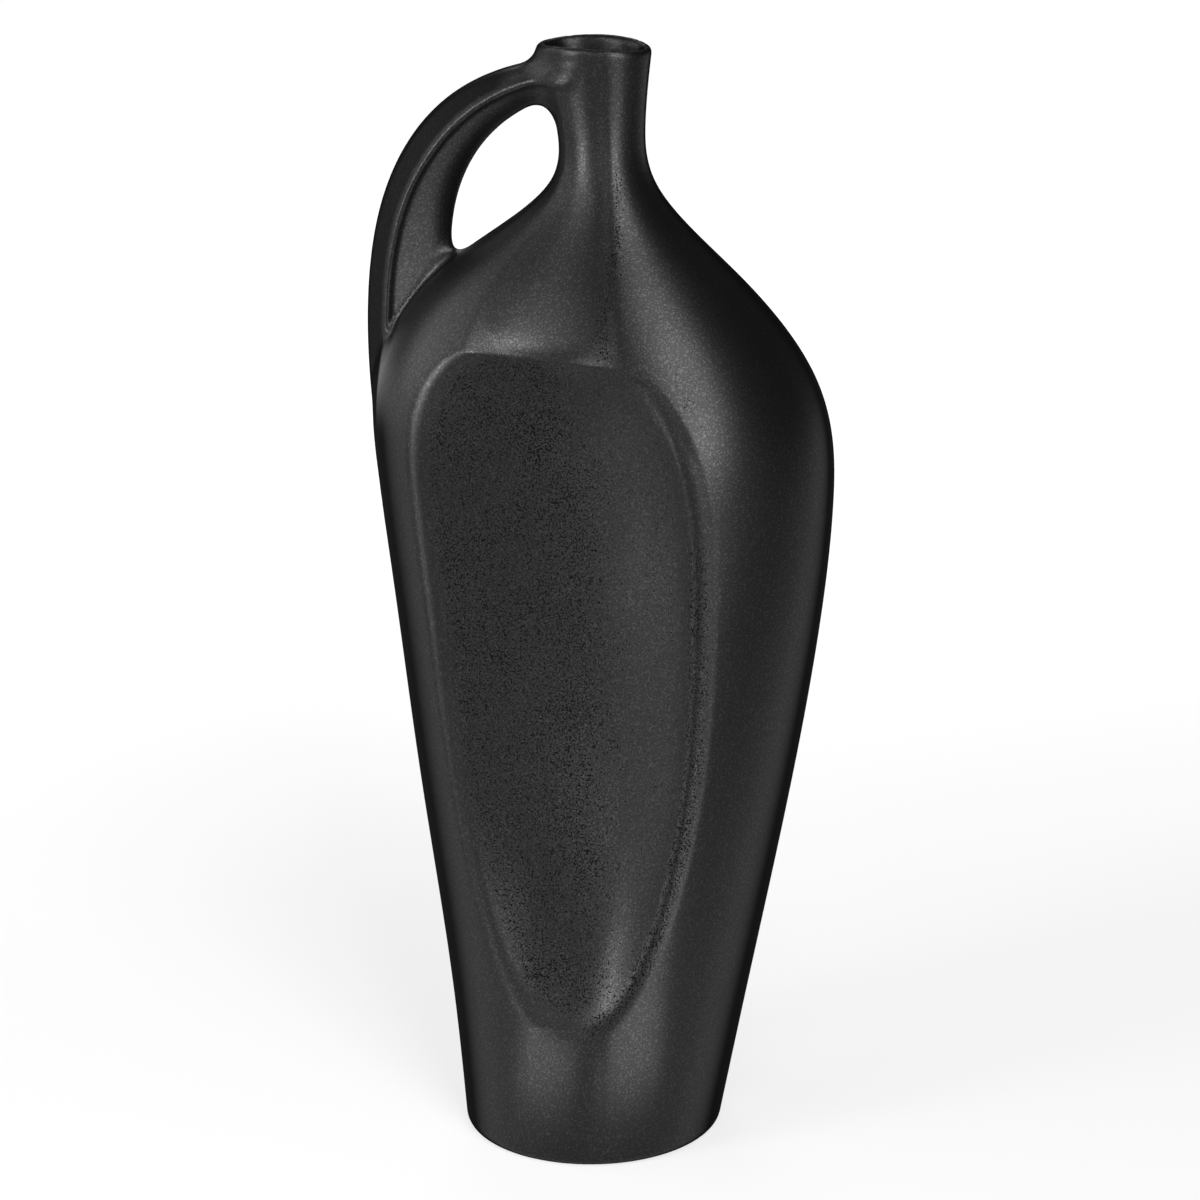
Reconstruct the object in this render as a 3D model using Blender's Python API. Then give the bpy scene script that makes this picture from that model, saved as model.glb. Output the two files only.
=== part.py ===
"""Bottle vase in matt black stoneware, as the pieces that a potter joins.

A foot slab carries a front and a back shell, each with a pressed panel. A neck collar with a
flared lip closes them at the top, and a loop handle runs from the neck over to the left shoulder.

Metres, +Z up. +X is to the right, the handle is at -X, and the front faces -Y.
The origin is the middle of the foot, on the surface that the vase stands on.
"""
import math

import bmesh
import bpy
import numpy as np

# Clay and joints
WALL = 0.0050
JOINT_GAP = 0.0003

# Level sections that shape the body, from the foot up: each one's rise above the one below
FLANK_RISE = 0.060
WAIST_RISE = 0.090
CHEST_RISE = 0.075
BELLY_RISE = 0.050
SHOULDER_RISE = 0.050
SLOPE_RISE = 0.040
NECK_ROOT_RISE = 0.035
NECK_RISE = 0.025
LIP_RISE = 0.032

# Reach of the main sections from the vase's axis
FOOT_RIGHT = 0.0513
FOOT_LEFT = 0.0538
FOOT_HALF_DEPTH = 0.0545
BELLY_RIGHT = 0.0984
BELLY_LEFT = 0.0908
BELLY_HALF_DEPTH = 0.0645
SHOULDER_RIGHT = 0.0908
SHOULDER_LEFT = 0.0885
SHOULDER_HALF_DEPTH = 0.0600
NECK_RIGHT = 0.0200
NECK_LEFT = 0.0165
NECK_HALF_DEPTH = 0.0140
LIP_RIGHT = 0.0230
LIP_LEFT = 0.0243
LIP_HALF_DEPTH = 0.0165

# Sections between the main ones, as reach to the right, reach to the left and half depth
FLANK_SECTION = (0.0630, 0.0598, 0.0610)
WAIST_SECTION = (0.0812, 0.0728, 0.0645)
CHEST_SECTION = (0.0935, 0.0838, 0.0655)
SLOPE_SECTION = (0.0585, 0.0598, 0.0400)
NECK_ROOT_SECTION = (0.0243, 0.0180, 0.0180)

# Foot
FOOT_THICKNESS = 0.008
HEEL_RADIUS = 0.003

# Pressed panel, front and back. Its reach is a share of the body's half width at each height.
PANEL_TOP_ABOVE_SHOULDER = 0.018
PANEL_MIDDLE_ABOVE_CHEST = 0.005
PANEL_BOTTOM_ABOVE_FLANK = 0.001
PANEL_REACH = 0.65
PANEL_DEPTH = 0.025
PANEL_EDGE_SOFTNESS = 0.003
PANEL_TOP_SQUARENESS = 4.5
PANEL_BOTTOM_SQUARENESS = 2.8

# Handle
HANDLE_PROUD_OF_SHOULDER = 0.0098
HANDLE_SIDE_THICKNESS = 0.0370
HANDLE_NECK_HALF_DEPTH = 0.0105
HANDLE_SIDE_HALF_DEPTH = 0.0150
HANDLE_BAND = 0.0125
HANDLE_NOSE_TAPER = 1.5

# How finely the surfaces are cut
SHELL_STEPS = 40
SHELL_OUTER_SIDES = 32
SHELL_INNER_SIDES = 22
NECK_SIDES = 44
NECK_STEPS = 8
LIP_STEPS = 6
HEEL_STEPS = 4
FOOT_SIDES = 56
LOOP_STEPS = 20
TAIL_STEPS = 8
HANDLE_SIDES = 20
CUTTER_SIDES = 96
CUTTER_STEPS = 90

# Faces that meet more sharply than this show a crease
CREASE_DEGREES = 40

# Finish
GLAZE_BLACK = (0.018, 0.018, 0.019, 1.0)
GLAZE_ROUGHNESS = 0.45
BARE_CLAY = (0.10, 0.085, 0.075, 1.0)
CLAY_ROUGHNESS = 0.85

# Heights that follow from the rises
FLANK_HEIGHT = FLANK_RISE
WAIST_HEIGHT = FLANK_HEIGHT + WAIST_RISE
CHEST_HEIGHT = WAIST_HEIGHT + CHEST_RISE
BELLY_HEIGHT = CHEST_HEIGHT + BELLY_RISE
SHOULDER_HEIGHT = BELLY_HEIGHT + SHOULDER_RISE
SLOPE_HEIGHT = SHOULDER_HEIGHT + SLOPE_RISE
NECK_ROOT_HEIGHT = SLOPE_HEIGHT + NECK_ROOT_RISE
NECK_HEIGHT = NECK_ROOT_HEIGHT + NECK_RISE
HEIGHT = NECK_HEIGHT + LIP_RISE
PANEL_TOP = SHOULDER_HEIGHT + PANEL_TOP_ABOVE_SHOULDER
PANEL_MIDDLE = CHEST_HEIGHT + PANEL_MIDDLE_ABOVE_CHEST
PANEL_BOTTOM = FLANK_HEIGHT + PANEL_BOTTOM_ABOVE_FLANK

SECTION_HEIGHTS = (0.0, FLANK_HEIGHT, WAIST_HEIGHT, CHEST_HEIGHT, BELLY_HEIGHT,
                   SHOULDER_HEIGHT, SLOPE_HEIGHT, NECK_ROOT_HEIGHT, NECK_HEIGHT, HEIGHT)
SECTIONS = ((FOOT_RIGHT, FOOT_LEFT, FOOT_HALF_DEPTH),
            FLANK_SECTION,
            WAIST_SECTION,
            CHEST_SECTION,
            (BELLY_RIGHT, BELLY_LEFT, BELLY_HALF_DEPTH),
            (SHOULDER_RIGHT, SHOULDER_LEFT, SHOULDER_HALF_DEPTH),
            SLOPE_SECTION,
            NECK_ROOT_SECTION,
            (NECK_RIGHT, NECK_LEFT, NECK_HALF_DEPTH),
            (LIP_RIGHT, LIP_LEFT, LIP_HALF_DEPTH))

# The handle's edges as (reach to the left of the axis, drop below the lip): each is a loop from
# inside the neck to the side, and then a tail, which share the fourth point
HANDLE_REACH = SHOULDER_LEFT + HANDLE_PROUD_OF_SHOULDER
HANDLE_INNER_REACH = HANDLE_REACH - HANDLE_SIDE_THICKNESS
HANDLE_OUTER_EDGE = ((0.0100, 0.0080), (0.0705, 0.0142), (HANDLE_REACH, 0.0535),
                     (HANDLE_REACH, 0.1250), (HANDLE_REACH, 0.1520),
                     (HANDLE_REACH - 0.0023, 0.1820), (HANDLE_REACH - 0.0078, 0.2050))
HANDLE_INNER_EDGE = ((0.0100, 0.0230), (0.0380, 0.0300), (HANDLE_INNER_REACH, 0.0510),
                     (HANDLE_INNER_REACH, 0.0830), (HANDLE_INNER_REACH, 0.1270),
                     (HANDLE_INNER_REACH, 0.1670), (HANDLE_INNER_REACH, 0.2050))


def spline_bends(heights, values):
    """Second derivatives of the natural cubic spline through the values at the heights."""
    count = len(heights)
    steps = np.diff(heights)
    slopes = np.diff(values) / steps
    matrix = np.eye(count)
    right_side = np.zeros(count)
    for i in range(1, count - 1):
        matrix[i, i - 1] = steps[i - 1]
        matrix[i, i] = 2.0 * (steps[i - 1] + steps[i])
        matrix[i, i + 1] = steps[i]
        right_side[i] = 6.0 * (slopes[i] - slopes[i - 1])
    return np.linalg.solve(matrix, right_side)


class SmoothCurve:
    """A smooth curve of one value against height."""

    def __init__(self, heights, values):
        self.heights = np.array(heights)
        self.values = np.array(values)
        self.bends = spline_bends(self.heights, self.values)

    def at(self, height):
        last = len(self.heights) - 2
        i = int(np.clip(np.searchsorted(self.heights, height) - 1, 0, last))
        step = self.heights[i + 1] - self.heights[i]
        above = (self.heights[i + 1] - height) / step
        below = 1.0 - above
        bend = (above ** 3 - above) * self.bends[i] + (below ** 3 - below) * self.bends[i + 1]
        return float(above * self.values[i] + below * self.values[i + 1] + bend * step ** 2 / 6.0)


REACH_RIGHT = SmoothCurve(SECTION_HEIGHTS, [section[0] for section in SECTIONS])
REACH_LEFT = SmoothCurve(SECTION_HEIGHTS, [section[1] for section in SECTIONS])
HALF_DEPTH = SmoothCurve(SECTION_HEIGHTS, [section[2] for section in SECTIONS])


def panel_dip(x, height):
    """How far the pressed panel sets the wall back at this place."""
    right = REACH_RIGHT.at(height)
    left = REACH_LEFT.at(height)
    across = abs(x - (right - left) / 2) / (PANEL_REACH * (right + left) / 2)
    if height > PANEL_MIDDLE:
        along = (height - PANEL_MIDDLE) / (PANEL_TOP - PANEL_MIDDLE)
        squareness = PANEL_TOP_SQUARENESS
    else:
        along = (PANEL_MIDDLE - height) / (PANEL_MIDDLE - PANEL_BOTTOM)
        squareness = PANEL_BOTTOM_SQUARENESS
    spread = (across ** squareness + along ** squareness) ** (1.0 / squareness)
    dip = PANEL_DEPTH * (1.0 - spread ** 2)
    return (dip + math.hypot(dip, PANEL_EDGE_SOFTNESS)) / 2


def wall_point(angle, height, inset):
    """A point of the vase's level section, set in from the outer face by the inset."""
    along_x = math.cos(angle)
    along_y = math.sin(angle)
    reach = REACH_RIGHT.at(height) if along_x > 0 else REACH_LEFT.at(height)
    x = (reach - inset) * along_x
    y = (HALF_DEPTH.at(height) - inset) * along_y
    return x, y - math.copysign(min(abs(y), panel_dip(x, height)), y)


def edge_point(points, share):
    """The point (x, z) at a share of the way along a cubic Bezier piece of the handle's edge."""
    rest = 1.0 - share
    weights = (rest ** 3, 3 * rest ** 2 * share, 3 * rest * share ** 2, share ** 3)
    reach = sum(weight * point[0] for weight, point in zip(weights, points))
    drop = sum(weight * point[1] for weight, point in zip(weights, points))
    return -reach, HEIGHT - drop


def plain_material(name, colour, roughness):
    material = bpy.data.materials.new(name)
    material.use_nodes = True
    shader = material.node_tree.nodes["Principled BSDF"]
    shader.inputs["Base Color"].default_value = colour
    shader.inputs["Roughness"].default_value = roughness
    shader.inputs["Metallic"].default_value = 0.0
    return material


def add_piece(name, rings, material, closed_lengthwise=False):
    """Makes a solid from equal closed rings of points, capped unless the last ring meets the first."""
    mesh = bpy.data.meshes.new(name)
    shape = bmesh.new()
    loops = [[shape.verts.new(point) for point in ring] for ring in rings]
    sides = len(rings[0])
    pairs = list(zip(loops, loops[1:]))
    if closed_lengthwise:
        pairs.append((loops[-1], loops[0]))
    for lower, upper in pairs:
        for i in range(sides):
            j = (i + 1) % sides
            shape.faces.new((lower[i], lower[j], upper[j], upper[i]))
    if not closed_lengthwise:
        shape.faces.new(loops[0])
        shape.faces.new(loops[-1])
    bmesh.ops.recalc_face_normals(shape, faces=shape.faces)
    shape.to_mesh(mesh)
    shape.free()
    mesh.shade_smooth()
    mesh.set_sharp_from_angle(angle=math.radians(CREASE_DEGREES))
    mesh.materials.append(material)
    piece = bpy.data.objects.new(name, mesh)
    bpy.context.collection.objects.link(piece)
    return piece


def full_ring(height, inset, sides):
    ring = []
    for i in range(sides):
        x, y = wall_point(2 * math.pi * i / sides, height, inset)
        ring.append((x, y, height))
    return ring


def shell_ring(height, facing):
    """The outline of one shell's wall at a height: along the outer face and back along the inner."""
    ring = []
    seam = JOINT_GAP / 2
    for sides, inset, forward in ((SHELL_OUTER_SIDES, 0.0, True), (SHELL_INNER_SIDES, WALL, False)):
        for i in range(sides + 1):
            share = i / sides if forward else 1.0 - i / sides
            x, y = wall_point(math.pi * share, height, inset)
            ring.append((x, facing * max(y, seam), height))
    return ring


def build_shell(name, facing, material):
    """Half of the body's wall, from the foot slab up to the neck collar."""
    bottom = FOOT_THICKNESS + JOINT_GAP
    heights = np.linspace(bottom, NECK_ROOT_HEIGHT, SHELL_STEPS + 1)
    return add_piece(name, [shell_ring(float(height), facing) for height in heights], material)


def build_foot(glaze, bare_clay):
    """The slab that closes the body below: glazed round its heel, bare under its flat foot."""
    rings = []
    for i in range(HEEL_STEPS + 1):
        turn = math.pi / 2 * i / HEEL_STEPS
        height = HEEL_RADIUS * (1.0 - math.cos(turn))
        rings.append(full_ring(height, HEEL_RADIUS * (1.0 - math.sin(turn)), FOOT_SIDES))
    rings.append(full_ring(FOOT_THICKNESS, 0.0, FOOT_SIDES))
    foot = add_piece("foot_slab", rings, glaze)
    foot.data.materials.append(bare_clay)
    underside = min(foot.data.polygons, key=lambda face: face.center.z)
    underside.material_index = 1
    return foot


def build_neck(material):
    """The collar: up the outer face, over the rounded lip and down the bore."""
    bottom = NECK_ROOT_HEIGHT + JOINT_GAP
    lip_radius = WALL / 2
    heights = np.linspace(bottom, HEIGHT - lip_radius, NECK_STEPS + 1)
    rings = [full_ring(float(height), 0.0, NECK_SIDES) for height in heights]
    for i in range(1, LIP_STEPS):
        turn = math.pi * i / LIP_STEPS
        height = HEIGHT - lip_radius + lip_radius * math.sin(turn)
        rings.append(full_ring(height, lip_radius * (1.0 - math.cos(turn)), NECK_SIDES))
    rings += [full_ring(float(height), WALL, NECK_SIDES) for height in reversed(heights)]
    return add_piece("neck_collar", rings, material, closed_lengthwise=True)


def handle_ring(outer, inner, half_depth):
    """An egg-shaped section: a round band outside, narrowing to a nose on the finger side."""
    run_x = inner[0] - outer[0]
    run_z = inner[1] - outer[1]
    thickness = math.hypot(run_x, run_z)
    band = min(HANDLE_BAND, thickness / 2)
    ring = []
    for i in range(HANDLE_SIDES):
        turn = 2 * math.pi * i / HANDLE_SIDES
        inward = -math.cos(turn)
        across = math.sin(turn)
        if inward > 0:
            place = band + (thickness - band) * inward
            across = math.copysign(abs(across) ** HANDLE_NOSE_TAPER, across)
        else:
            place = band * (1.0 + inward)
        share = place / thickness
        ring.append((outer[0] + run_x * share, half_depth * across, outer[1] + run_z * share))
    return ring


def build_handle(material):
    """The loop from the neck round to the side, and the tail that dies into the body's left flank."""
    rings = []
    for i in range(LOOP_STEPS + 1):
        share = i / LOOP_STEPS
        half_depth = HANDLE_NECK_HALF_DEPTH + (HANDLE_SIDE_HALF_DEPTH - HANDLE_NECK_HALF_DEPTH) * share
        outer = edge_point(HANDLE_OUTER_EDGE[:4], share)
        inner = edge_point(HANDLE_INNER_EDGE[:4], share)
        rings.append(handle_ring(outer, inner, half_depth))
    for i in range(1, TAIL_STEPS + 1):
        share = i / TAIL_STEPS
        outer = edge_point(HANDLE_OUTER_EDGE[3:], share)
        inner = edge_point(HANDLE_INNER_EDGE[3:], share)
        rings.append(handle_ring(outer, inner, HANDLE_SIDE_HALF_DEPTH))
    handle = add_piece("handle", rings, material)
    seat = handle.modifiers.new("seat_on_body_and_neck", "BOOLEAN")
    seat.operation = "DIFFERENCE"
    seat.solver = "EXACT"
    seat.object = build_seat_cutter(material)
    return handle


def build_seat_cutter(material):
    """The body and neck as one solid, a joint's gap larger, which shapes the handle's two ends."""
    top = HEIGHT + WALL
    heights = np.linspace(FOOT_THICKNESS, HEIGHT, CUTTER_STEPS + 1)
    rings = [full_ring(float(height), -JOINT_GAP, CUTTER_SIDES) for height in heights]
    rings.append([(x, y, top) for x, y, z in rings[-1]])
    cutter = add_piece("seat_cutter", rings, material)
    cutter.hide_render = True
    cutter.display_type = "WIRE"
    return cutter


def clear_scene():
    for item in list(bpy.data.objects):
        bpy.data.objects.remove(item, do_unlink=True)


def main():
    clear_scene()
    build_foot(plain_material("foot_glaze", GLAZE_BLACK, GLAZE_ROUGHNESS),
               plain_material("bare_clay", BARE_CLAY, CLAY_ROUGHNESS))
    build_shell("front_shell", -1.0, plain_material("front_glaze", GLAZE_BLACK, GLAZE_ROUGHNESS))
    build_shell("back_shell", 1.0, plain_material("back_glaze", GLAZE_BLACK, GLAZE_ROUGHNESS))
    build_neck(plain_material("neck_glaze", GLAZE_BLACK, GLAZE_ROUGHNESS))
    build_handle(plain_material("handle_glaze", GLAZE_BLACK, GLAZE_ROUGHNESS))


main()
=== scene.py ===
"""Looks of a matt black stoneware bottle vase: one fired skin with its handle, panels and mouth.

The skin is worked out as a distance field (body, panels, neck, handle, inside), meshed on a fine
grid and drawn onto the field. Metres, +Z up, the front faces -Y and the handle is at -X. A pair of
numbers that a name holds is where something starts and where it is complete.
"""
import math

import bpy
import numpy as np
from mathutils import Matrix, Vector


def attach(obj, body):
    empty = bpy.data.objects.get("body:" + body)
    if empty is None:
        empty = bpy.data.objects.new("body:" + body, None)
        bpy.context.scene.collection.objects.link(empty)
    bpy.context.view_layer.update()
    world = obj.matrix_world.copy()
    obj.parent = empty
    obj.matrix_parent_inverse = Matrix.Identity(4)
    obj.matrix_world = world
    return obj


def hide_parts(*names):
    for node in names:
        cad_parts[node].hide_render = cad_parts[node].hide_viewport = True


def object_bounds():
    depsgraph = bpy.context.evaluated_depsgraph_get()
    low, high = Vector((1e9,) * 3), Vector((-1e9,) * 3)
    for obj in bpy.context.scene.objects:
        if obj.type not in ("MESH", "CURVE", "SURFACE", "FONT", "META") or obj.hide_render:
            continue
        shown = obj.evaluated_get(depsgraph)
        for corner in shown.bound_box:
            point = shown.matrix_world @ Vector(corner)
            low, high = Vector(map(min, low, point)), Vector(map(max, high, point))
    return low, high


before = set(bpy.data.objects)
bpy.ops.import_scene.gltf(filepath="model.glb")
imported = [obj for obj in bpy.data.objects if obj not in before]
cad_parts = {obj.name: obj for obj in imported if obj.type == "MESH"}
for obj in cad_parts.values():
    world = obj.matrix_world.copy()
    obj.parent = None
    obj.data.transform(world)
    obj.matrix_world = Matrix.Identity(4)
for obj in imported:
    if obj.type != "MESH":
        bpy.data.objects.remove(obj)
cad_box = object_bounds()

# Clay
WALL = 0.0050
LIP_WALL = 0.0034
LIP_THINNING = (0.425, 0.455)
FOOT_THICKNESS = 0.008
HEEL_ROUNDING = 0.0036
INSIDE_ROUNDING = 0.014
LIP_ROUNDING = 0.0026
LIP_HEIGHT = 0.4562
LIP_DROP = 0.0016
LIP_REACH = 0.024

# Body sections from the foot up: height, reach to the right, reach to the left, half depth
SECTIONS = (
    (0.000, 0.0513, 0.0538, 0.0545),
    (0.060, 0.0630, 0.0598, 0.0594),
    (0.150, 0.0809, 0.0736, 0.0645),
    (0.225, 0.0934, 0.0843, 0.0655),
    (0.275, 0.0983, 0.0913, 0.0645),
    (0.325, 0.0905, 0.0889, 0.0600),
    (0.365, 0.0582, 0.0598, 0.0400),
    (0.400, 0.0246, 0.0184, 0.0180),
    (0.425, 0.0202, 0.0167, 0.0140),
    (0.457, 0.0230, 0.0243, 0.0165),
)

# Pressed panel: its outline, where reach and lean are shares of the body's half width
PANEL_TOP = 0.3405
PANEL_MIDDLE = 0.215
PANEL_BOTTOM = 0.061
PANEL_REACH = 0.63
PANEL_LEAN = 0.68
PANEL_LEAN_PIVOT = 0.229
PANEL_TOP_SQUARENESS = 4.8
PANEL_BOTTOM_SQUARENESS = 2.55

# Pressed panel: its lip, which is softer at the top
PANEL_LIP_SOFTNESS = 0.0034
PANEL_TOP_SOFTNESS = 0.0070
PANEL_SOFTENING = (0.300, 0.336)

# Pressed panel: its floor, and the wall down to it, whose rounding is a share of its depth
PANEL_STEP = 0.0050
PANEL_SAG = 0.0070
PANEL_LOW_SAG = 0.0115
PANEL_DEEPENING = (0.190, 0.090)
PANEL_LEAST_SLOPE = 0.45
PANEL_LEAST_DEPTH = 0.0015
PANEL_FLOOR_ROUNDING = 0.003
PANEL_WALL_SLOPE = 1.3
PANEL_WALL_ROUNDING = 0.6

# Handle edges as (x, z): the corners of two curves that share the fourth point
HANDLE_OUTER_EDGE = ((-0.0100, 0.4490), (-0.0705, 0.4428), (-0.0983, 0.4035), (-0.0983, 0.3320),
                     (-0.0983, 0.3000), (-0.0930, 0.2500), (-0.0680, 0.1900))
HANDLE_INNER_EDGE = ((-0.0100, 0.4340), (-0.0380, 0.4270), (-0.0604, 0.4060), (-0.0608, 0.3740),
                     (-0.0611, 0.3300), (-0.0615, 0.2900), (-0.0615, 0.1900))
EDGE_PIECES = 120
HANDLE_START = -0.008
HANDLE_END = 0.200
HANDLE_END_ROUNDING = 0.006

# Handle rim: it grows from the neck to the side, by the share of its length
RIM_WIDTH_NECK = 0.0050
RIM_WIDTH_SIDE = 0.0130
RIM_WIDENING = (-0.05, 0.28)
RIM_HALF_DEPTH_NECK = 0.0105
RIM_HALF_DEPTH_SIDE = 0.0150
RIM_DEEPENING = (0.0, 0.4)
RIM_FACING = math.radians(-34)
RIM_NOSE_ROUNDING = 0.004
RIM_WALL = 0.0012
RIM_STEP = 0.0010
RIM_CORNER = 0.0026

# Handle web, on the finger side of the rim
WEB_FACING = math.radians(31)
WEB_ROUNDING = 0.002
WEB_FILLET = 0.0022
NOSE_ROUNDING = 0.008

# Fillet between handle and body: its least reach, and more at the neck, the flank and the finger hole
JOIN_REACH = 0.0032
JOIN_NECK = 0.0045
JOIN_NECK_ACROSS = (-0.050, -0.028)
JOIN_FLANK = 0.0060
JOIN_FLANK_HEIGHTS = (0.345, 0.290)
JOIN_FLANK_DEPTHS = (0.003, 0.014)
JOIN_NOSE = 0.0050
JOIN_NOSE_DEPTHS = (0.010, 0.002)
JOIN_NOSE_HEIGHTS = (0.340, 0.365)

# Mesh
GRID_STEP = 0.0012
GRID_MARGIN = 2.5
LEVELS_AT_ONCE = 16
DRAW_ROUNDS = 2
DRAW_LEAST_SLOPE = 0.05

# More pits, so darker glaze: along creases and in the panels (glaze that pools, with painted shade), by
# their right wall and in a streak under the neck (painted shade)
CREASE_PROBE = 0.0018
CREASE_BEND = (0.15, 0.9)
POOL_AND_SHADE_DEPTHS = (0.002, 0.008)
POOL_AND_SHADE_THINNING = 0.7
POOL_AND_SHADE_THINNING_ACROSS = (0.0, 0.6)
# Painted shade: more pits along the panels' right wall, from the middle down
WALL_PIT_START = (0.0002, 0.0010)
WALL_PIT_END = (0.0055, 0.0035)
WALL_PIT_ACROSS = (0.1, 0.3)
WALL_PIT_HEIGHTS = (0.30, 0.26)
# Painted shade: a streak of more pits under the neck, along the dark gap between the two highlights
STREAK_TURN = 0.46
STREAK_DRIFT = 0.18
STREAK_DRIFT_HEIGHTS = (0.350, 0.400)
STREAK_WIDTH = 0.10
STREAK_LOW = (0.325, 0.350)
STREAK_HIGH = (0.425, 0.39)

# Painted highlight as more shine on the handle's web and the left shoulder, painted shade as less shine
# on the handle's chamfer
WEB_PAINTED_HIGHLIGHT = 1.0
CHAMFER_PAINTED_SHADE = 0.85
SHOULDER_PAINTED_HIGHLIGHT = 0.70
HANDLE_ACROSS = (-0.030, -0.040)
HANDLE_INSIDE = (-0.006, -0.003)
CHAMFER_INSIDE = (0.0008, 0.0030)
CHAMFER_HEIGHTS = (0.285, 0.325)
WEB_PAST_RIM = (0.0015, 0.0035)
WEB_PAST_NOSE = (0.003, 0.010)
WEB_OFF_BODY = (0.0005, 0.0020)
SHOULDER_LOW = (0.290, 0.325)
SHOULDER_HIGH = (0.385, 0.350)
SHOULDER_ACROSS = (-0.025, -0.065)
SHOULDER_OFF_BODY = (0.0020, 0.0005)

# Glaze
GLAZE_COLOUR = (0.0025, 0.0025, 0.0026)
GLAZE_IOR = 1.28
GLAZE_ROUGHNESS = 0.34
GLAZE_MOTTLING = 0.08
GLAZE_STRETCH = 0.5
GLAZE_STRETCH_ALONG = (0.05, 0.03, 1.0)
GLAZE_RELIEF = 0.00003
FINE_DETAIL = 1.0
GRAIN_SIZE = 0.0008
GRAIN_SPAN = (0.48, 0.72)
GRAIN_SHINE = (0.90, 1.80)
GRAIN_HEIGHT = 0.6
CLOUD_SIZE = 0.020
CLOUD_DETAIL = 3.0
PIT_SIZE = 0.0007
PIT_LIMIT = 0.82
PIT_LIMIT_POOLED_AND_SHADE = -0.18
PIT_LIMIT_CLOUD = -0.18
PIT_EDGE = (-0.03, 0.05)
PLAIN_SHINE = 0.5
PIT_SHINE = 0.03
# Painted shade: towards the outline a plain dark surface takes the place of the glaze's reflection
OUTLINE_SHADE_COLOUR = (0.003, 0.003, 0.0031)
OUTLINE_SPAN = (0.40, 0.72)
OUTLINE_SHARE = 0.97

# Camera: its place, and the lens in pixels of the photo
CAMERA_AZIMUTH = math.radians(22)
CAMERA_DISTANCE = 1.812
CAMERA_HEIGHT = 0.826
CAMERA_PITCH = math.radians(18)
FOCAL_PIXELS = 4711.0
FRAME_PIXELS = 1200.0
AXIS_COLUMN = 596.0
PITCH_ROW = 575.3
SENSOR_WIDTH = 36.0

# Floor: the spans are distances behind the vase, as the camera looks
FLOOR_REACH = 9.0
FLOOR_GAP = 0.0002
FLOOR_COLOUR = (0.15, 0.15, 0.15)
FLOOR_ROUGHNESS = 0.9
FLOOR_LIFT_FRONT = 0.20
FLOOR_LIFT_NEAR = 0.71
FLOOR_LIFT_FAR = 0.98
FLOOR_FAR_FRONT = (-2.2, -1.4)
FLOOR_FRONT = (-0.40, -0.10)
FLOOR_BEHIND = (0.0, 1.2)

# Lights
WORLD_STRENGTH = 0.05
LIGHT_TARGET = (0.0, 0.0, 0.22)
LOW_LIGHT_HEIGHT = 0.003

# Soft boxes: name, azimuth and elevation in degrees, distance, width, height, radiance
SOFT_LIGHTS = (
    ("left_box", -36, 9, 1.5, 0.40, 0.55, 28.0),
    ("left_canopy", -28, 32, 1.5, 0.75, 0.95, 5.0),
    ("left_wall", -75, 24, 1.6, 1.00, 1.20, 2.6),
    ("front_box", 4, 14, 1.5, 0.28, 0.50, 6.0),
    ("right_box", 36, 8, 1.5, 0.36, 0.50, 11.0),
    ("right_strip", 40, 32, 1.5, 0.60, 2.0, 12.0),
    ("back_box", -150, 30, 1.6, 0.80, 0.90, 5.0),
)

# Strips on the floor: name, azimuth in degrees, near end, far end, width, radiance
LOW_LIGHTS = (
    ("low_left_strip", -12, 0.10, 0.45, 0.08, 4.8),
    ("low_right_strip", 42, 0.10, 0.45, 0.08, 5.8),
)


def spline_bends(heights, values):
    """Second derivatives of the natural cubic spline through the values at the heights."""
    count = len(heights)
    steps = np.diff(heights)
    slopes = np.diff(values) / steps
    matrix = np.eye(count)
    right_side = np.zeros(count)
    for i in range(1, count - 1):
        matrix[i, i - 1] = steps[i - 1]
        matrix[i, i] = 2.0 * (steps[i - 1] + steps[i])
        matrix[i, i + 1] = steps[i]
        right_side[i] = 6.0 * (slopes[i] - slopes[i - 1])
    return np.linalg.solve(matrix, right_side)


class SmoothCurve:
    """A smooth curve of one value against height. at() gives the value and the slope."""

    def __init__(self, heights, values):
        self.heights = np.array(heights)
        self.values = np.array(values)
        self.bends = spline_bends(self.heights, self.values)

    def at(self, height):
        last = len(self.heights) - 2
        i = np.clip(np.searchsorted(self.heights, height) - 1, 0, last)
        step = self.heights[i + 1] - self.heights[i]
        above = (self.heights[i + 1] - height) / step
        below = 1.0 - above
        bend = (above ** 3 - above) * self.bends[i] + (below ** 3 - below) * self.bends[i + 1]
        value = above * self.values[i] + below * self.values[i + 1] + bend * step ** 2 / 6.0
        turn = (1 - 3 * above ** 2) * self.bends[i] + (3 * below ** 2 - 1) * self.bends[i + 1]
        slope = (self.values[i + 1] - self.values[i]) / step + turn * step / 6.0
        return value, slope


SECTION_HEIGHTS = [section[0] for section in SECTIONS]
MIDDLE = SmoothCurve(SECTION_HEIGHTS, [(section[1] - section[2]) / 2 for section in SECTIONS])
HALF_WIDTH = SmoothCurve(SECTION_HEIGHTS, [(section[1] + section[2]) / 2 for section in SECTIONS])
HALF_DEPTH = SmoothCurve(SECTION_HEIGHTS, [section[3] for section in SECTIONS])


def smooth_min(a, b, reach):
    """The smaller of two values, with a rounded change between them."""
    overlap = np.maximum(reach - np.abs(a - b), 0.0)
    return np.minimum(a, b) - overlap ** 2 / (4.0 * reach)


def smooth_max(a, b, reach):
    """The larger of two values, with a rounded change between them."""
    return -smooth_min(-a, -b, reach)


def smooth_ramp(value, start, end):
    """A soft step from 0 at the start to 1 at the end, which may be the lower one."""
    share = np.clip((value - start) / (end - start), 0.0, 1.0)
    return share * share * (3.0 - 2.0 * share)


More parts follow.
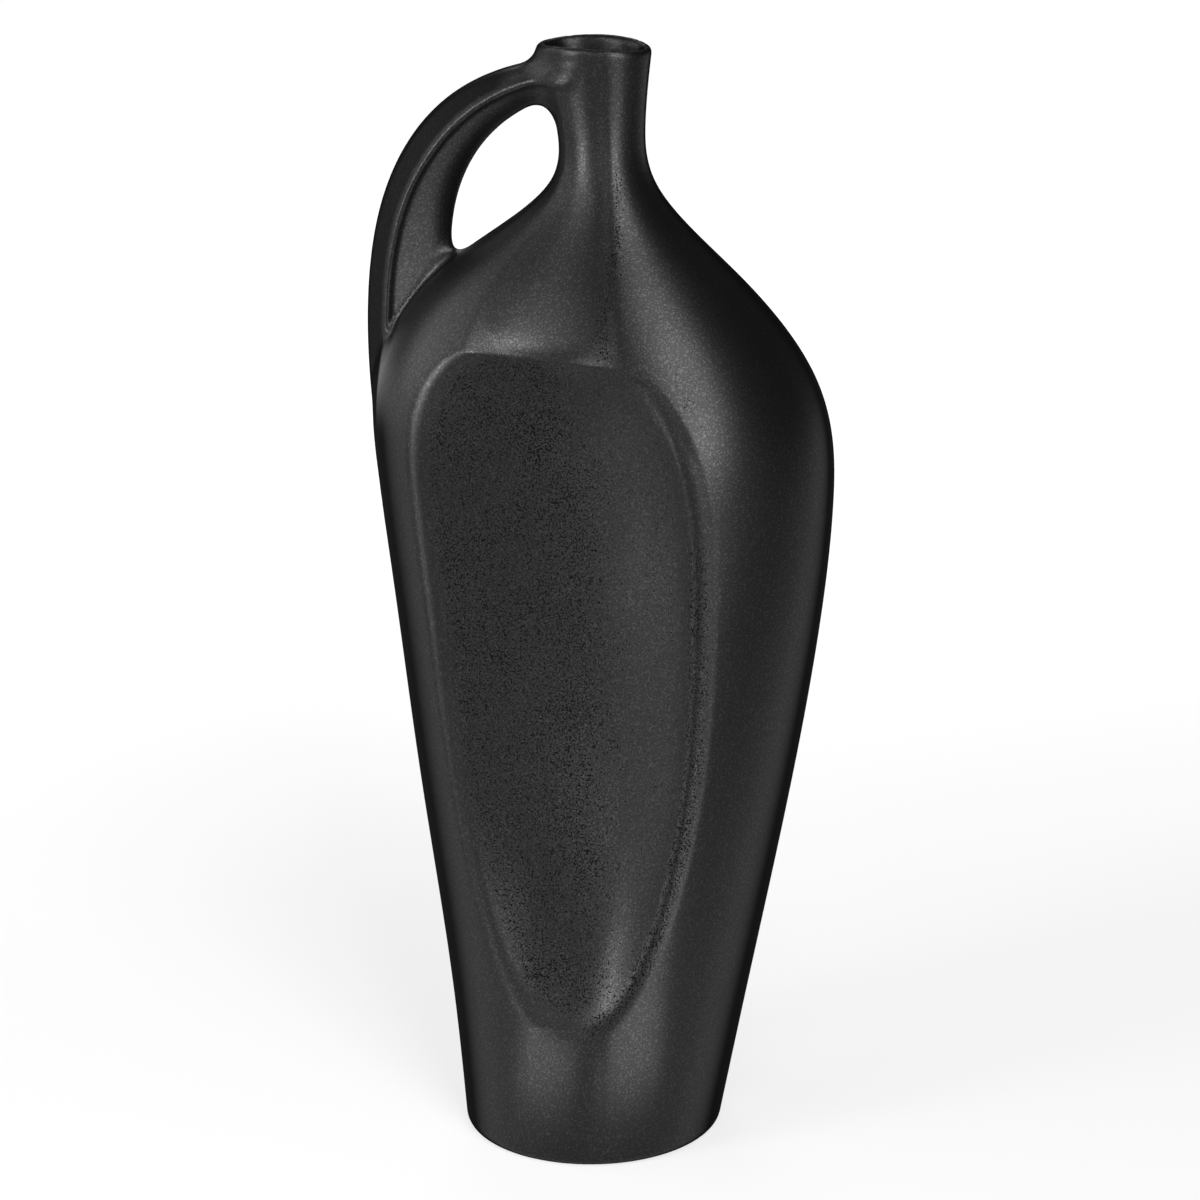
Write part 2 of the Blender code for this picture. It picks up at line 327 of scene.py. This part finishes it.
def blend(first, last, share):
    return first + (last - first) * share


def panel_lean(z):
    """How far the panel's middle line lies to the right, as a share of the half width."""
    return PANEL_LEAN * (PANEL_LEAN_PIVOT - z)


def panel_side(across, z):
    """Place across the leaning panel: -1 on its left edge, 1 on its right edge."""
    return (across - panel_lean(z)) / PANEL_REACH


def ellipse_height(across):
    """How far a round section reaches forward, where both are shares of its half width and depth."""
    return np.sqrt(np.clip(1.0 - across ** 2, 0.0, 1.0))


def panel_floor(side, span, depth, z):
    """How far the floor lies in front of the middle plane, sagging between left lip and right wall.

    The span is the panel's width at this height, as a share of its greatest width.
    """
    left = depth * ellipse_height(panel_lean(z) - PANEL_REACH * span)
    right = depth * ellipse_height(panel_lean(z) + PANEL_REACH * span) - PANEL_STEP * span
    place = side / span
    chord = (left * (1.0 - place) + right * (1.0 + place)) / 2
    sag = blend(PANEL_SAG, PANEL_LOW_SAG, smooth_ramp(z, *PANEL_DEEPENING))
    return chord - sag * (span ** 2 - side ** 2)


def panel_dip(across, width, depth, z):
    """How far the pressed panel sets the wall back, where across is a share of the half width."""
    upper = z > PANEL_MIDDLE
    height = np.where(upper, PANEL_TOP - PANEL_MIDDLE, PANEL_MIDDLE - PANEL_BOTTOM)
    power = np.where(upper, PANEL_TOP_SQUARENESS, PANEL_BOTTOM_SQUARENESS)
    side = panel_side(across, z)
    reach = np.abs(side)
    rise = np.abs(z - PANEL_MIDDLE) / height
    level = (reach ** power + rise ** power) ** (1.0 / power) + 1e-6
    side_slope = (reach / level) ** (power - 1.0) / (PANEL_REACH * width)
    rise_slope = (rise / level) ** (power - 1.0) / height
    past_lip = (1.0 - level) / np.hypot(side_slope, rise_slope)
    softness = blend(PANEL_LIP_SOFTNESS, PANEL_TOP_SOFTNESS, smooth_ramp(z, *PANEL_SOFTENING))
    past_lip = (past_lip + np.hypot(past_lip, softness)) / 2
    wall = past_lip * PANEL_WALL_SLOPE
    least = PANEL_LEAST_DEPTH * (1.0 - np.exp(-past_lip * PANEL_LEAST_SLOPE / PANEL_LEAST_DEPTH))
    span = (1.0 - np.clip(rise, 0.0, 0.99) ** power) ** (1.0 / power)
    to_floor = depth * ellipse_height(across) - panel_floor(side, span, depth, z)
    pressed = smooth_max(to_floor, least, PANEL_FLOOR_ROUNDING)
    return smooth_min(pressed, wall, PANEL_WALL_ROUNDING * wall)


def body_distance(x, y, z):
    """Distance to the body's outer face, below zero inside."""
    middle, middle_slope = MIDDLE.at(z)
    width, width_slope = HALF_WIDTH.at(z)
    depth, depth_slope = HALF_DEPTH.at(z)
    u = x - middle
    v = np.abs(y) + panel_dip(u / width, width, depth, z)
    level = (u / width) ** 2 + (v / depth) ** 2
    rise_x = u / width ** 2
    rise_y = v / depth ** 2
    rise_z = -(u ** 2 * width_slope / width ** 3 + u * middle_slope / width ** 2
               + v ** 2 * depth_slope / depth ** 3)
    steepness = np.sqrt(rise_x ** 2 + rise_y ** 2 + rise_z ** 2) + 1e-6
    size = np.sqrt(level)
    return (size - 1.0) * size / steepness


def edge_points(points):
    """Places along two cubic Bezier curves that share the middle one of the points."""
    share = np.linspace(0.0, 1.0, EDGE_PIECES + 1)[:, None]
    rest = 1.0 - share
    weights = np.hstack([rest ** 3, 3 * rest ** 2 * share, 3 * rest * share ** 2, share ** 3])
    loop = weights @ np.array(points[:4])
    tail = weights @ np.array(points[3:])
    return np.vstack([loop, tail[1:]])


def edge_field(points, x, z):
    """Signed distance to an edge curve, above zero on the body's side, and the share along it."""
    line = edge_points(points)
    start = line[:-1]
    run = line[1:] - start
    length = np.hypot(run[:, 0], run[:, 1])
    travelled = np.concatenate([[0.0], np.cumsum(length)])
    best = np.full(x.shape, 1e9)
    signed = np.zeros(x.shape)
    along = np.zeros(x.shape)
    for i in range(len(run)):
        dx = x - start[i, 0]
        dz = z - start[i, 1]
        share = np.clip((dx * run[i, 0] + dz * run[i, 1]) / length[i] ** 2, 0.0, 1.0)
        away = np.hypot(dx - share * run[i, 0], dz - share * run[i, 1])
        side = run[i, 0] * dz - run[i, 1] * dx
        nearer = away < best
        best = np.where(nearer, away, best)
        signed = np.where(nearer, np.copysign(away, side), signed)
        along = np.where(nearer, (travelled[i] + share * length[i]) / travelled[-1], along)
    return signed, along


class HandlePlan:
    """Distances from the handle's two edges over its plane, looked up between fine samples."""

    STEP = 0.0005
    LOW = (-0.108, 0.185)
    COUNT = (240, 560)
    INSET = 1.001

    def __init__(self):
        x = self.LOW[0] + self.STEP * np.arange(self.COUNT[0])[:, None]
        z = self.LOW[1] + self.STEP * np.arange(self.COUNT[1])[None, :]
        x, z = np.broadcast_arrays(x, z)
        from_outer, along = edge_field(HANDLE_OUTER_EDGE, x, z)
        from_inner, _ = edge_field(HANDLE_INNER_EDGE, x, z)
        self.table = np.stack([from_outer, -from_inner, along], axis=-1)

    def look_up(self, x, z):
        """Distance inside the outer edge, distance inside the inner edge, and share of the length."""
        place_x = np.clip((x - self.LOW[0]) / self.STEP, 0.0, self.COUNT[0] - self.INSET)
        place_z = np.clip((z - self.LOW[1]) / self.STEP, 0.0, self.COUNT[1] - self.INSET)
        i = place_x.astype(int)
        k = place_z.astype(int)
        fx = (place_x - i)[..., None]
        fz = (place_z - k)[..., None]
        near = self.table[i, k] * (1 - fx) + self.table[i + 1, k] * fx
        far = self.table[i, k + 1] * (1 - fx) + self.table[i + 1, k + 1] * fx
        mixed = near * (1 - fz) + far * fz
        return mixed[..., 0], mixed[..., 1], mixed[..., 2]


HANDLE_PLAN = HandlePlan()


def rim_width(along):
    return blend(RIM_WIDTH_NECK, RIM_WIDTH_SIDE, smooth_ramp(along, *RIM_WIDENING))


def handle_distance(x, y, z):
    """Distance to the handle: a chamfered rim with a ridge, and a web that tapers to the fingers."""
    from_outer, from_inner, along = HANDLE_PLAN.look_up(x, z)
    half_depth = blend(RIM_HALF_DEPTH_NECK, RIM_HALF_DEPTH_SIDE, smooth_ramp(along, *RIM_DEEPENING))
    proud = np.abs(y) - half_depth
    past_ridge = from_outer - rim_width(along)
    chamfer = proud * math.cos(RIM_FACING) + past_ridge * math.sin(RIM_FACING)
    rim = smooth_max(chamfer, -from_outer, RIM_NOSE_ROUNDING)
    rim = smooth_max(rim, past_ridge - RIM_WALL, RIM_CORNER)
    web = (proud + RIM_STEP) * math.cos(WEB_FACING) + past_ridge * math.sin(WEB_FACING)
    web = smooth_max(web, proud + RIM_STEP, WEB_ROUNDING)
    web = smooth_max(web, -from_inner, NOSE_ROUNDING)
    web = np.maximum(web, -past_ridge)
    whole = smooth_min(rim, web, WEB_FILLET)
    whole = smooth_max(whole, x - HANDLE_START, HANDLE_END_ROUNDING)
    return smooth_max(whole, HANDLE_END - z, HANDLE_END_ROUNDING)


def join_reach(x, y, z):
    """How wide the fillet is between handle and body."""
    depth = np.abs(y)
    neck = JOIN_NECK * smooth_ramp(x, *JOIN_NECK_ACROSS)
    flank = JOIN_FLANK * smooth_ramp(z, *JOIN_FLANK_HEIGHTS) * smooth_ramp(depth, *JOIN_FLANK_DEPTHS)
    nose = JOIN_NOSE * smooth_ramp(depth, *JOIN_NOSE_DEPTHS) * smooth_ramp(z, *JOIN_NOSE_HEIGHTS)
    return JOIN_REACH + neck + flank + nose


def vase_distance(x, y, z):
    """Distance to the whole fired skin, with its inside, foot and mouth."""
    body = body_distance(x, y, z)
    outer = smooth_min(body, handle_distance(x, y, z), join_reach(x, y, z))
    outer = smooth_max(outer, -z, HEEL_ROUNDING)
    lip = LIP_HEIGHT - LIP_DROP * (x / LIP_REACH) ** 2
    outer = smooth_max(outer, z - lip, LIP_ROUNDING)
    wall = blend(WALL, LIP_WALL, smooth_ramp(z, *LIP_THINNING))
    hollow = smooth_max(body + wall, FOOT_THICKNESS - z, INSIDE_ROUNDING)
    return smooth_max(outer, -hollow, LIP_ROUNDING)


def sample_axis(low, high):
    """Places along one axis of the grid, with a margin of some steps at both ends."""
    return np.arange(low - GRID_MARGIN * GRID_STEP, high + (GRID_MARGIN + 0.5) * GRID_STEP, GRID_STEP)


def sample_grid(axes):
    """The field on the grid, worked out a few levels at a time."""
    x = axes[0][:, None, None]
    y = axes[1][None, :, None]
    values = np.empty([len(axis) for axis in axes])
    for k in range(0, len(axes[2]), LEVELS_AT_ONCE):
        z = axes[2][None, None, k:k + LEVELS_AT_ONCE]
        values[:, :, k:k + LEVELS_AT_ONCE] = vase_distance(*np.broadcast_arrays(x, y, z))
    return values


CORNERS = [(i, j, k) for i in (0, 1) for j in (0, 1) for k in (0, 1)]


def surface_net(axes, values):
    """Vertices and quads of the zero surface: one vertex in each cell that the surface crosses."""
    inside = values < 0.0
    shape = tuple(n - 1 for n in values.shape)

    def corner(array, offset):
        return array[tuple(slice(o, o + n) for o, n in zip(offset, shape))]

    held = sum(corner(inside, offset).astype(np.int8) for offset in CORNERS)
    crossed = (held > 0) & (held < 8)
    cells = np.argwhere(crossed)
    index = np.full(shape, -1, dtype=np.int64)
    index[crossed] = np.arange(len(cells))
    total = np.zeros((len(cells), 3))
    count = np.zeros(len(cells))
    for a in CORNERS:
        for direction in range(3):
            if a[direction]:
                continue
            b = tuple(1 if n == direction else a[n] for n in range(3))
            value_a = corner(values, a)[crossed]
            value_b = corner(values, b)[crossed]
            cut = (value_a < 0) != (value_b < 0)
            share = np.where(cut, value_a / np.where(cut, value_a - value_b, 1.0), 0.0)
            point = np.tile(np.array(a, float), (len(cells), 1))
            point[:, direction] += share
            total += np.where(cut[:, None], point, 0.0)
            count += cut
    origin = np.array([axis[0] for axis in axes])
    points = origin + GRID_STEP * (cells + total / count[:, None])
    quads = []
    for direction in range(3):
        first, second = [n for n in range(3) if n != direction]
        here = [slice(1, -1)] * 3
        there = [slice(1, -1)] * 3
        here[direction] = slice(0, -1)
        there[direction] = slice(1, None)
        start = inside[tuple(here)]
        change = start != inside[tuple(there)]
        edges = np.argwhere(change)
        leaving = start[change]
        edges[:, first] += 1
        edges[:, second] += 1
        ring = []
        for move_first, move_second in ((-1, -1), (0, -1), (0, 0), (-1, 0)):
            cell = edges.copy()
            cell[:, first] += move_first
            cell[:, second] += move_second
            ring.append(index[cell[:, 0], cell[:, 1], cell[:, 2]])
        ring = np.stack(ring, axis=1)
        # the four cells run the other way round about the middle axis
        flip = leaving if direction == 1 else ~leaving
        quads.append(np.where(flip[:, None], ring[:, ::-1], ring))
    return points, np.vstack(quads)


def draw_onto_field(points):
    """Moves each point along the field's slope onto the surface."""
    probe = GRID_STEP / 4
    for _ in range(DRAW_ROUNDS):
        value = vase_distance(*points.T)
        slope = np.empty_like(points)
        for direction in range(3):
            shift = np.zeros(3)
            shift[direction] = probe
            ahead = vase_distance(*(points + shift).T)
            behind = vase_distance(*(points - shift).T)
            slope[:, direction] = (ahead - behind) / (2 * probe)
        strength = np.maximum((slope ** 2).sum(axis=1), DRAW_LEAST_SLOPE)
        move = -slope * (value / strength)[:, None]
        length = np.linalg.norm(move, axis=1, keepdims=True)
        points = points + move * np.minimum(1.0, GRID_STEP / np.maximum(length, 1e-12))
    return points


def relax(points, quads):
    """Evens out the quads by moving each point half way to the middle of its neighbours."""
    total = np.zeros_like(points)
    count = np.zeros(len(points))
    for i in range(4):
        for j in ((i + 1) % 4, (i + 3) % 4):
            np.add.at(total, quads[:, i], points[quads[:, j]])
            np.add.at(count, quads[:, i], 1.0)
    return points + 0.5 * (total / count[:, None] - points)


def crease_at(points):
    """How sharply the surface folds in at each point, from 0 to 1."""
    bend = -6.0 * vase_distance(*points.T)
    for direction in range(3):
        for sign in (-1.0, 1.0):
            shift = np.zeros(3)
            shift[direction] = sign * CREASE_PROBE
            bend += vase_distance(*(points + shift).T)
    return smooth_ramp(-bend / CREASE_PROBE, *CREASE_BEND)


def pits_of_pooling_and_shade(points):
    """How much the glaze is pitted and darkened at each point, from 0 to 1: glaze that pools with painted
    shade in creases and panels, painted shade by the panels' right wall and in a streak under the neck.
    """
    x, y, z = points.T
    width = HALF_WIDTH.at(z)[0]
    across = (x - MIDDLE.at(z)[0]) / width
    side = panel_side(across, z)
    pressed = panel_dip(across, width, HALF_DEPTH.at(z)[0], z)
    thinning = POOL_AND_SHADE_THINNING * smooth_ramp(side, *POOL_AND_SHADE_THINNING_ACROSS)
    # glaze that pools, with painted shade: more pits in the panels, fewer towards their right side where
    # light falls
    panel = smooth_ramp(pressed, *POOL_AND_SHADE_DEPTHS) * (1.0 - thinning)
    # painted shade: more pits along the panels' right wall
    wall = smooth_ramp(pressed, *WALL_PIT_START) * smooth_ramp(pressed, *WALL_PIT_END)
    wall = wall * smooth_ramp(side, *WALL_PIT_ACROSS) * smooth_ramp(z, *WALL_PIT_HEIGHTS)
    # painted shade: a streak of pits under the neck, along the dark gap between the highlights
    turn = np.arctan2(x - MIDDLE.at(z)[0], -y)
    off_streak = turn - STREAK_TURN - STREAK_DRIFT * smooth_ramp(z, *STREAK_DRIFT_HEIGHTS)
    streak = np.exp(-(off_streak / STREAK_WIDTH) ** 2)
    streak = streak * smooth_ramp(z, *STREAK_LOW) * smooth_ramp(z, *STREAK_HIGH)
    # creases: glaze that pools, with painted shade
    return np.maximum.reduce([crease_at(points), panel, wall, streak])


def painted_highlight_and_shade(points):
    """Painted highlight and shade as more or less shine: above 0 on the handle's web and left shoulder
    (painted highlight), below 0 on the chamfer (painted shade).
    """
    x, y, z = points.T
    from_outer, from_inner, along = HANDLE_PLAN.look_up(x, z)
    from_body = body_distance(x, y, z)
    past_rim = from_outer - rim_width(along)
    on_handle = smooth_ramp(x, *HANDLE_ACROSS) * smooth_ramp(from_outer, *HANDLE_INSIDE)
    # painted shade: less shine on the chamfer
    chamfer = smooth_ramp(-past_rim, *CHAMFER_INSIDE) * smooth_ramp(z, *CHAMFER_HEIGHTS)
    # painted highlight: more shine on the web
    web = smooth_ramp(past_rim, *WEB_PAST_RIM) * smooth_ramp(from_inner, *WEB_PAST_NOSE)
    web = web * smooth_ramp(from_body, *WEB_OFF_BODY)
    handle = on_handle * (WEB_PAINTED_HIGHLIGHT * web - CHAMFER_PAINTED_SHADE * chamfer)
    # painted highlight: more shine on the left shoulder
    shoulder = smooth_ramp(z, *SHOULDER_LOW) * smooth_ramp(z, *SHOULDER_HIGH)
    shoulder = shoulder * smooth_ramp(x, *SHOULDER_ACROSS) * smooth_ramp(from_body, *SHOULDER_OFF_BODY)
    return handle + SHOULDER_PAINTED_HIGHLIGHT * shoulder


def build_skin():
    """The fired skin as one mesh, with the amounts at its points of pits (glaze that pools, with painted
    shade) and of painted highlight and shade.
    """
    low, high = cad_box
    axes = [sample_axis(low[n], high[n]) for n in range(3)]
    points, quads = surface_net(axes, sample_grid(axes))
    points = draw_onto_field(points)
    points = draw_onto_field(relax(points, quads))
    mesh = bpy.data.meshes.new("ceramic_skin")
    mesh.vertices.add(len(points))
    mesh.vertices.foreach_set("co", points.astype(np.float32).ravel())
    mesh.loops.add(quads.size)
    mesh.loops.foreach_set("vertex_index", quads.astype(np.int32).ravel())
    mesh.polygons.add(len(quads))
    mesh.polygons.foreach_set("loop_start", np.arange(0, quads.size, 4, dtype=np.int32))
    mesh.update(calc_edges=True)
    mesh.validate()
    mesh.shade_smooth()
    # pits for glaze that pools and painted shade, and painted highlight and shade as more or less shine
    for name, amount in (("pooled_and_shade", pits_of_pooling_and_shade(points)), ("painted_highlight_and_shade", painted_highlight_and_shade(points))):
        layer = mesh.attributes.new(name, "FLOAT", "POINT")
        layer.data.foreach_set("value", amount.astype(np.float32))
    skin = bpy.data.objects.new("ceramic_skin", mesh)
    bpy.context.collection.objects.link(skin)
    return skin


def principled(name, colour, roughness):
    """A new material and its main shader."""
    material = bpy.data.materials.new(name)
    material.use_nodes = True
    shader = material.node_tree.nodes["Principled BSDF"]
    shader.inputs["Base Color"].default_value = (*colour, 1.0)
    shader.inputs["Roughness"].default_value = roughness
    return material, shader


class Mixer:
    """Short calls for the nodes of one material."""

    def __init__(self, material):
        self.tree = material.node_tree

    def put(self, socket, value):
        """Links a node's output to the socket, or sets the socket to a plain value."""
        if isinstance(value, bpy.types.NodeSocket):
            self.tree.links.new(value, socket)
        else:
            socket.default_value = value

    def math(self, operation, *values):
        node = self.tree.nodes.new("ShaderNodeMath")
        node.operation = operation
        for socket, value in zip(node.inputs, values):
            self.put(socket, value)
        return node.outputs[0]

    def spread(self, value, low, high, new_low, new_high):
        """Maps the value from one range to another and holds it there."""
        node = self.tree.nodes.new("ShaderNodeMapRange")
        node.interpolation_type = "SMOOTHSTEP"
        for socket, entry in zip(node.inputs, (value, low, high, new_low, new_high)):
            self.put(socket, entry)
        return node.outputs[0]

    def noise(self, size, detail):
        """Noise whose lumps are about the given size in metres."""
        place = self.tree.nodes.new("ShaderNodeTexCoord")
        node = self.tree.nodes.new("ShaderNodeTexNoise")
        self.tree.links.new(place.outputs["Object"], node.inputs["Vector"])
        node.inputs["Scale"].default_value = 1.0 / size
        node.inputs["Detail"].default_value = detail
        return node.outputs[0]

    def distance_behind_vase(self):
        """How far a place lies behind the vase as the camera looks."""
        place = self.tree.nodes.new("ShaderNodeTexCoord")
        node = self.tree.nodes.new("ShaderNodeVectorMath")
        node.operation = "DOT_PRODUCT"
        self.tree.links.new(place.outputs["Object"], node.inputs[0])
        node.inputs[1].default_value = (-math.sin(CAMERA_AZIMUTH), math.cos(CAMERA_AZIMUTH), 0.0)
        return node.outputs["Value"]

    def attribute(self, name):
        node = self.tree.nodes.new("ShaderNodeAttribute")
        node.attribute_name = name
        return node.outputs["Fac"]

    def facing(self):
        """0 where the surface looks at the viewer, 1 at its outline."""
        node = self.tree.nodes.new("ShaderNodeLayerWeight")
        node.inputs["Blend"].default_value = 0.5
        return node.outputs["Facing"]

    def outline_painted_shade(self, shader, share):
        """Painted shade: lets a plain dark surface take over from the shader by the share, in place of
        its reflection.
        """
        outline_shade = self.tree.nodes.new("ShaderNodeBsdfDiffuse")
        outline_shade.inputs["Color"].default_value = (*OUTLINE_SHADE_COLOUR, 1.0)
        mixed = self.tree.nodes.new("ShaderNodeMixShader")
        self.tree.links.new(share, mixed.inputs[0])
        self.tree.links.new(shader.outputs[0], mixed.inputs[1])
        self.tree.links.new(outline_shade.outputs[0], mixed.inputs[2])
        self.tree.links.new(mixed.outputs[0], self.tree.nodes["Material Output"].inputs["Surface"])

    def constant_vector(self, x, y, z):
        node = self.tree.nodes.new("ShaderNodeCombineXYZ")
        for socket, value in zip(node.inputs, (x, y, z)):
            socket.default_value = value
        return node.outputs[0]

    def bump(self, height, depth):
        node = self.tree.nodes.new("ShaderNodeBump")
        node.inputs["Distance"].default_value = depth
        self.tree.links.new(height, node.inputs["Height"])
        return node.outputs[0]


def black_glaze():
    """Satin black glaze with a fine pale grain, pits that gather in hollows (glaze that pools, with
    painted shade), soft mottling, painted highlight and shade as more or less shine, and painted shade
    towards the outline.
    """
    material, shader = principled("black_glaze", GLAZE_COLOUR, GLAZE_ROUGHNESS)
    mix = Mixer(material)
    grain = mix.noise(GRAIN_SIZE, FINE_DETAIL)
    speck = mix.noise(PIT_SIZE, FINE_DETAIL)
    cloud = mix.noise(CLOUD_SIZE, CLOUD_DETAIL)
    # more pits where the glaze pools and where shade is painted
    limit = mix.math("MULTIPLY_ADD", mix.attribute("pooled_and_shade"), PIT_LIMIT_POOLED_AND_SHADE, PIT_LIMIT)
    limit = mix.math("MULTIPLY_ADD", cloud, PIT_LIMIT_CLOUD, limit)
    pit = mix.spread(mix.math("SUBTRACT", speck, limit), *PIT_EDGE, 0.0, 1.0)
    shine = mix.spread(pit, 0.0, 1.0, PLAIN_SHINE, PIT_SHINE)
    shine = mix.math("MULTIPLY", shine, mix.spread(grain, *GRAIN_SPAN, *GRAIN_SHINE))
    # painted highlight and shade: more shine on the handle's web and left shoulder, less on the chamfer
    highlight_and_shade = mix.attribute("painted_highlight_and_shade")
    shine = mix.math("MULTIPLY", shine, mix.math("ADD", highlight_and_shade, 1.0))
    height = mix.math("MULTIPLY_ADD", pit, -1.0, mix.math("MULTIPLY", grain, GRAIN_HEIGHT))
    shader.inputs["IOR"].default_value = GLAZE_IOR
    shader.inputs["Anisotropic"].default_value = GLAZE_STRETCH
    mix.put(shader.inputs["Tangent"], mix.constant_vector(*GLAZE_STRETCH_ALONG))
    mix.put(shader.inputs["Specular IOR Level"], shine)
    mix.put(shader.inputs["Roughness"], mix.math("MULTIPLY_ADD", cloud, GLAZE_MOTTLING, GLAZE_ROUGHNESS))
    mix.put(shader.inputs["Normal"], mix.bump(height, GLAZE_RELIEF))
    # painted shade: towards the outline a plain dark surface takes over, less so where the shine is
    # raised
    outline_shade = mix.spread(mix.facing(), *OUTLINE_SPAN, 0.0, OUTLINE_SHARE)
    mix.outline_painted_shade(shader, mix.math("MULTIPLY", outline_shade, mix.spread(highlight_and_shade, 0.0, 1.0, 1.0, 0.0)))
    return material


def aim(obj, target):
    """Points an object's -Z axis at the target."""
    direction = Vector(target) - obj.location
    obj.rotation_euler = direction.to_track_quat("-Z", "Y").to_euler()


def add_camera():
    data = bpy.data.cameras.new("camera")
    data.sensor_width = SENSOR_WIDTH
    data.lens = FOCAL_PIXELS / FRAME_PIXELS * SENSOR_WIDTH
    camera = bpy.data.objects.new("camera", data)
    camera.location = (CAMERA_DISTANCE * math.sin(CAMERA_AZIMUTH),
                       -CAMERA_DISTANCE * math.cos(CAMERA_AZIMUTH), CAMERA_HEIGHT)
    pitch = CAMERA_PITCH + math.atan((FRAME_PIXELS / 2 - PITCH_ROW) / FOCAL_PIXELS)
    turn = math.atan((FRAME_PIXELS / 2 - AXIS_COLUMN) / FOCAL_PIXELS)
    camera.rotation_euler = (math.pi / 2 - pitch, 0.0, CAMERA_AZIMUTH - turn)
    bpy.context.collection.objects.link(camera)
    bpy.context.scene.camera = camera


def add_soft_light(name, azimuth, elevation, distance, width, tall, radiance):
    """A rectangular soft box that shines on the vase from the azimuth and elevation."""
    data = bpy.data.lights.new(name, "AREA")
    data.shape = "RECTANGLE"
    data.size = width
    data.size_y = tall
    data.energy = radiance * math.pi * width * tall
    light = bpy.data.objects.new(name, data)
    turn = math.radians(azimuth)
    climb = math.radians(elevation)
    middle = Vector(LIGHT_TARGET)
    light.location = middle + distance * Vector((math.sin(turn) * math.cos(climb),
                                                 -math.cos(turn) * math.cos(climb), math.sin(climb)))
    aim(light, middle)
    bpy.context.collection.objects.link(light)


def add_low_light(name, azimuth, near, far, width, radiance):
    """A strip that lies on the floor from near to far and shines up, unseen by the camera."""
    data = bpy.data.lights.new(name, "AREA")
    data.shape = "RECTANGLE"
    data.size = width
    data.size_y = far - near
    data.energy = radiance * math.pi * data.size * data.size_y
    light = bpy.data.objects.new(name, data)
    turn = math.radians(azimuth)
    middle = (near + far) / 2
    light.location = (middle * math.sin(turn), -middle * math.cos(turn), LOW_LIGHT_HEIGHT)
    light.rotation_euler = (math.pi, 0.0, turn)
    light.visible_camera = False
    bpy.context.collection.objects.link(light)


def add_floor():
    """A wide floor that looks white and keeps the vase's soft shadow. Just in front it is less bright."""
    mesh = bpy.data.meshes.new("floor")
    corners = [(-FLOOR_REACH, -FLOOR_REACH, 0), (FLOOR_REACH, -FLOOR_REACH, 0),
               (FLOOR_REACH, FLOOR_REACH, 0), (-FLOOR_REACH, FLOOR_REACH, 0)]
    mesh.from_pydata(corners, [], [(0, 1, 2, 3)])
    floor = bpy.data.objects.new("floor", mesh)
    floor.location.z = -FLOOR_GAP
    bpy.context.collection.objects.link(floor)
    material, shader = principled("floor_paint", FLOOR_COLOUR, FLOOR_ROUGHNESS)
    mix = Mixer(material)
    paths = mix.tree.nodes.new("ShaderNodeLightPath")
    seen = mix.math("MAXIMUM", paths.outputs["Is Camera Ray"], paths.outputs["Is Glossy Ray"])
    seen = mix.math("MAXIMUM", seen, paths.outputs["Is Transmission Ray"])
    behind = mix.distance_behind_vase()
    near = mix.spread(behind, *FLOOR_FRONT, FLOOR_LIFT_FRONT, FLOOR_LIFT_NEAR)
    far = mix.spread(behind, *FLOOR_BEHIND, 0.0, FLOOR_LIFT_FAR - FLOOR_LIFT_NEAR)
    far_front = mix.spread(behind, *FLOOR_FAR_FRONT, FLOOR_LIFT_FAR - FLOOR_LIFT_FRONT, 0.0)
    lift = mix.math("ADD", mix.math("ADD", near, far), far_front)
    shader.inputs["Specular IOR Level"].default_value = 0.0
    shader.inputs["Emission Color"].default_value = (1.0, 1.0, 1.0, 1.0)
    mix.put(shader.inputs["Emission Strength"], mix.math("MULTIPLY", seen, lift))
    mesh.materials.append(material)


def set_world():
    world = bpy.data.worlds.new("studio")
    bpy.context.scene.world = world
    world.use_nodes = True
    background = world.node_tree.nodes["Background"]
    background.inputs["Color"].default_value = (1.0, 1.0, 1.0, 1.0)
    background.inputs["Strength"].default_value = WORLD_STRENGTH


skin = build_skin()
skin.data.materials.append(black_glaze())
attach(skin, "root")
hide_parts("front_shell", "back_shell", "neck_collar", "handle", "foot_slab")
add_camera()
add_floor()
set_world()
for soft_light in SOFT_LIGHTS:
    add_soft_light(*soft_light)
for low_light in LOW_LIGHTS:
    add_low_light(*low_light)
bpy.context.scene.view_settings.view_transform = "Standard"
